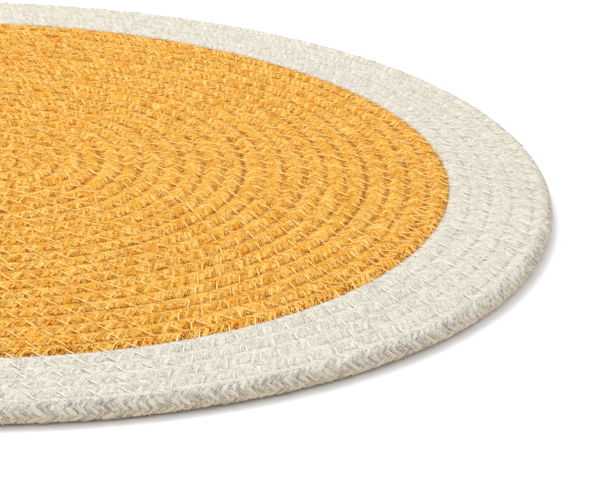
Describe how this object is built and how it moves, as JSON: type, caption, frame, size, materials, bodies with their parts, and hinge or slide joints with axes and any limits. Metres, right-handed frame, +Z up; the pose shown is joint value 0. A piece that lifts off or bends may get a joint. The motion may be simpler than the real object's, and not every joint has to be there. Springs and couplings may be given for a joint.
{
  "type": "round coiled cord placemat",
  "caption": "Flat round table mat of braided cotton cord, coiled in a spiral and sewn turn to turn, with a marigold middle and a cream border.",
  "frame": {"origin": "under the middle of the mat's outline, on the surface that it lies on", "axes": "+Z up out of the upper side, through the mat's thickness; the cord starts, changes colour and ends towards -X"},
  "size_m": [0.377, 0.3776, 0.0062],
  "materials": {
    "centre_cotton": "matt braided cotton cord, marigold yellow",
    "border_cotton": "matt braided cotton cord, natural cream"
  },
  "bodies": {
    "root": {"centre_coil": "centre_cotton", "border_coil": "border_cotton"}
  },
  "joints": []
}
